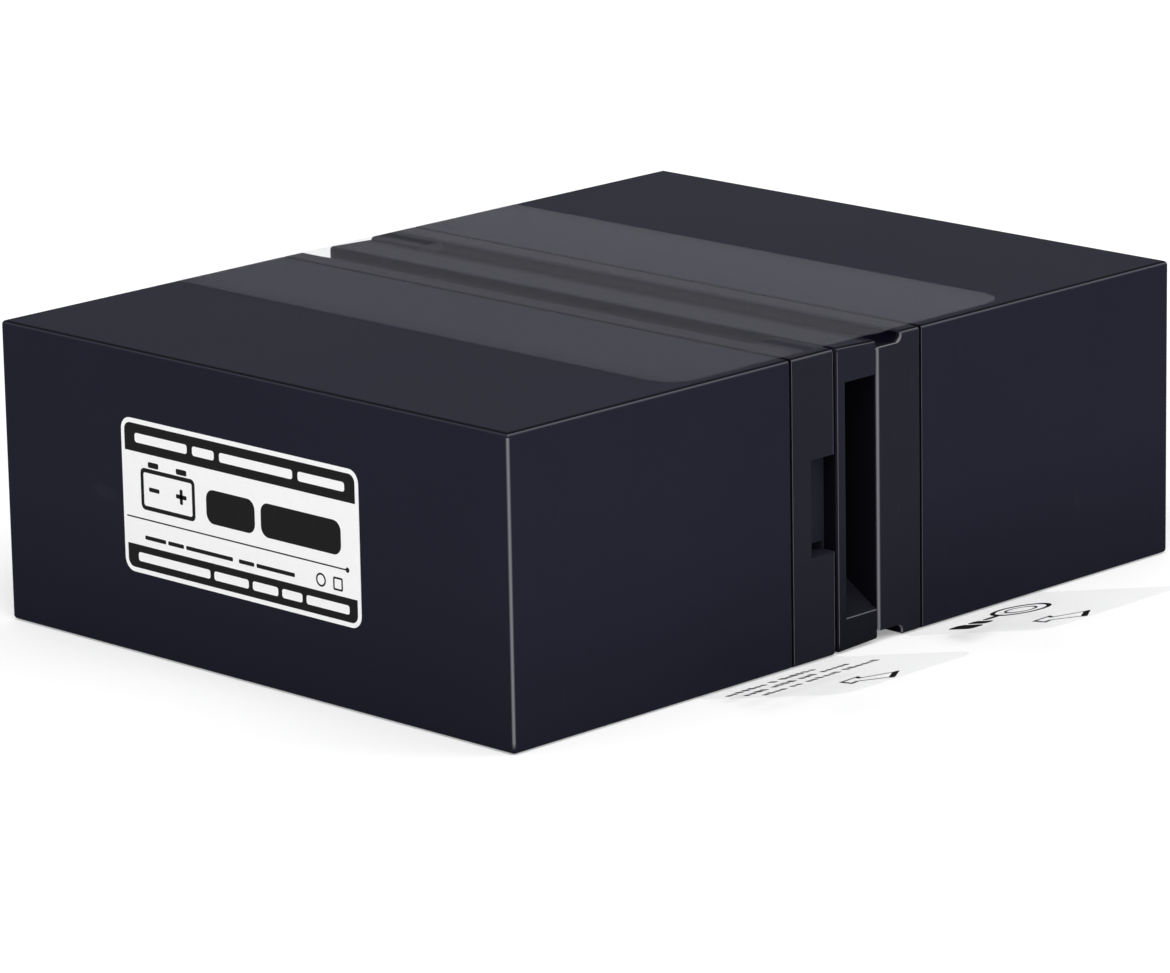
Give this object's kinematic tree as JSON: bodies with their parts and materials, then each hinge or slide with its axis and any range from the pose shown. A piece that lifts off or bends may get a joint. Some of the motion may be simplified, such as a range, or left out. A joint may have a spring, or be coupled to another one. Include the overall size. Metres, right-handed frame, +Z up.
{
  "type": "ups battery cartridge",
  "caption": "Flat twin sealed lead-acid battery cartridge with a central connector spine, clear holding films and pull tabs.",
  "frame": {"origin": "on the floor under the middle of the spine, at the foot of the pack, tabs left aside", "axes": "+Z up; X runs from battery to battery, the labelled one at -X; the connector port opens towards -Y"},
  "size_m": [0.2011, 0.1904, 0.0654],
  "materials": {
    "case_plastic": "moulded satin, near-black",
    "lid_plastic": "moulded satin, near-black",
    "spine_plastic": "moulded satin, near-black",
    "valve_rubber": "matt",
    "tinned_brass": "tin plated",
    "red_potting": "cast resin",
    "black_potting": "cast resin",
    "plus_paste": "brown lead dioxide paste on a lead grid",
    "minus_paste": "grey sponge lead on a lead grid",
    "glass_mat": "wet glass fibre mat",
    "cast_lead": "cast lead",
    "clear_film": "clear film",
    "label_paper": "coated sticker"
  },
  "bodies": {
    "root": {"bus_minus": "tinned_brass", "bus_plus": "tinned_brass", "cell_straps_far": "cast_lead", "cell_straps_near": "cast_lead", "container_far": "case_plastic", "container_near": "case_plastic", "label": "label_paper", "lid_far": "lid_plastic", "lid_near": "lid_plastic", "plates_minus_far": "minus_paste", "plates_minus_near": "minus_paste", "plates_plus_far": "plus_paste", "plates_plus_near": "plus_paste", "pull_film": "clear_film", "seal_minus_far": "black_potting", "seal_minus_near": "black_potting", "seal_plus_far": "red_potting", "seal_plus_near": "red_potting", "separators_far": "glass_mat", "separators_near": "glass_mat", "series_link": "tinned_brass", "spine_cover": "spine_plastic", "spine_housing": "spine_plastic", "tab_receptacles": "tinned_brass", "terminal_minus_far": "tinned_brass", "terminal_minus_near": "tinned_brass", "terminal_plus_far": "tinned_brass", "terminal_plus_near": "tinned_brass", "top_film": "clear_film", "vent_caps_far": "valve_rubber", "vent_caps_near": "valve_rubber", "vent_cover_far": "lid_plastic", "vent_cover_near": "lid_plastic"}
  },
  "joints": []
}
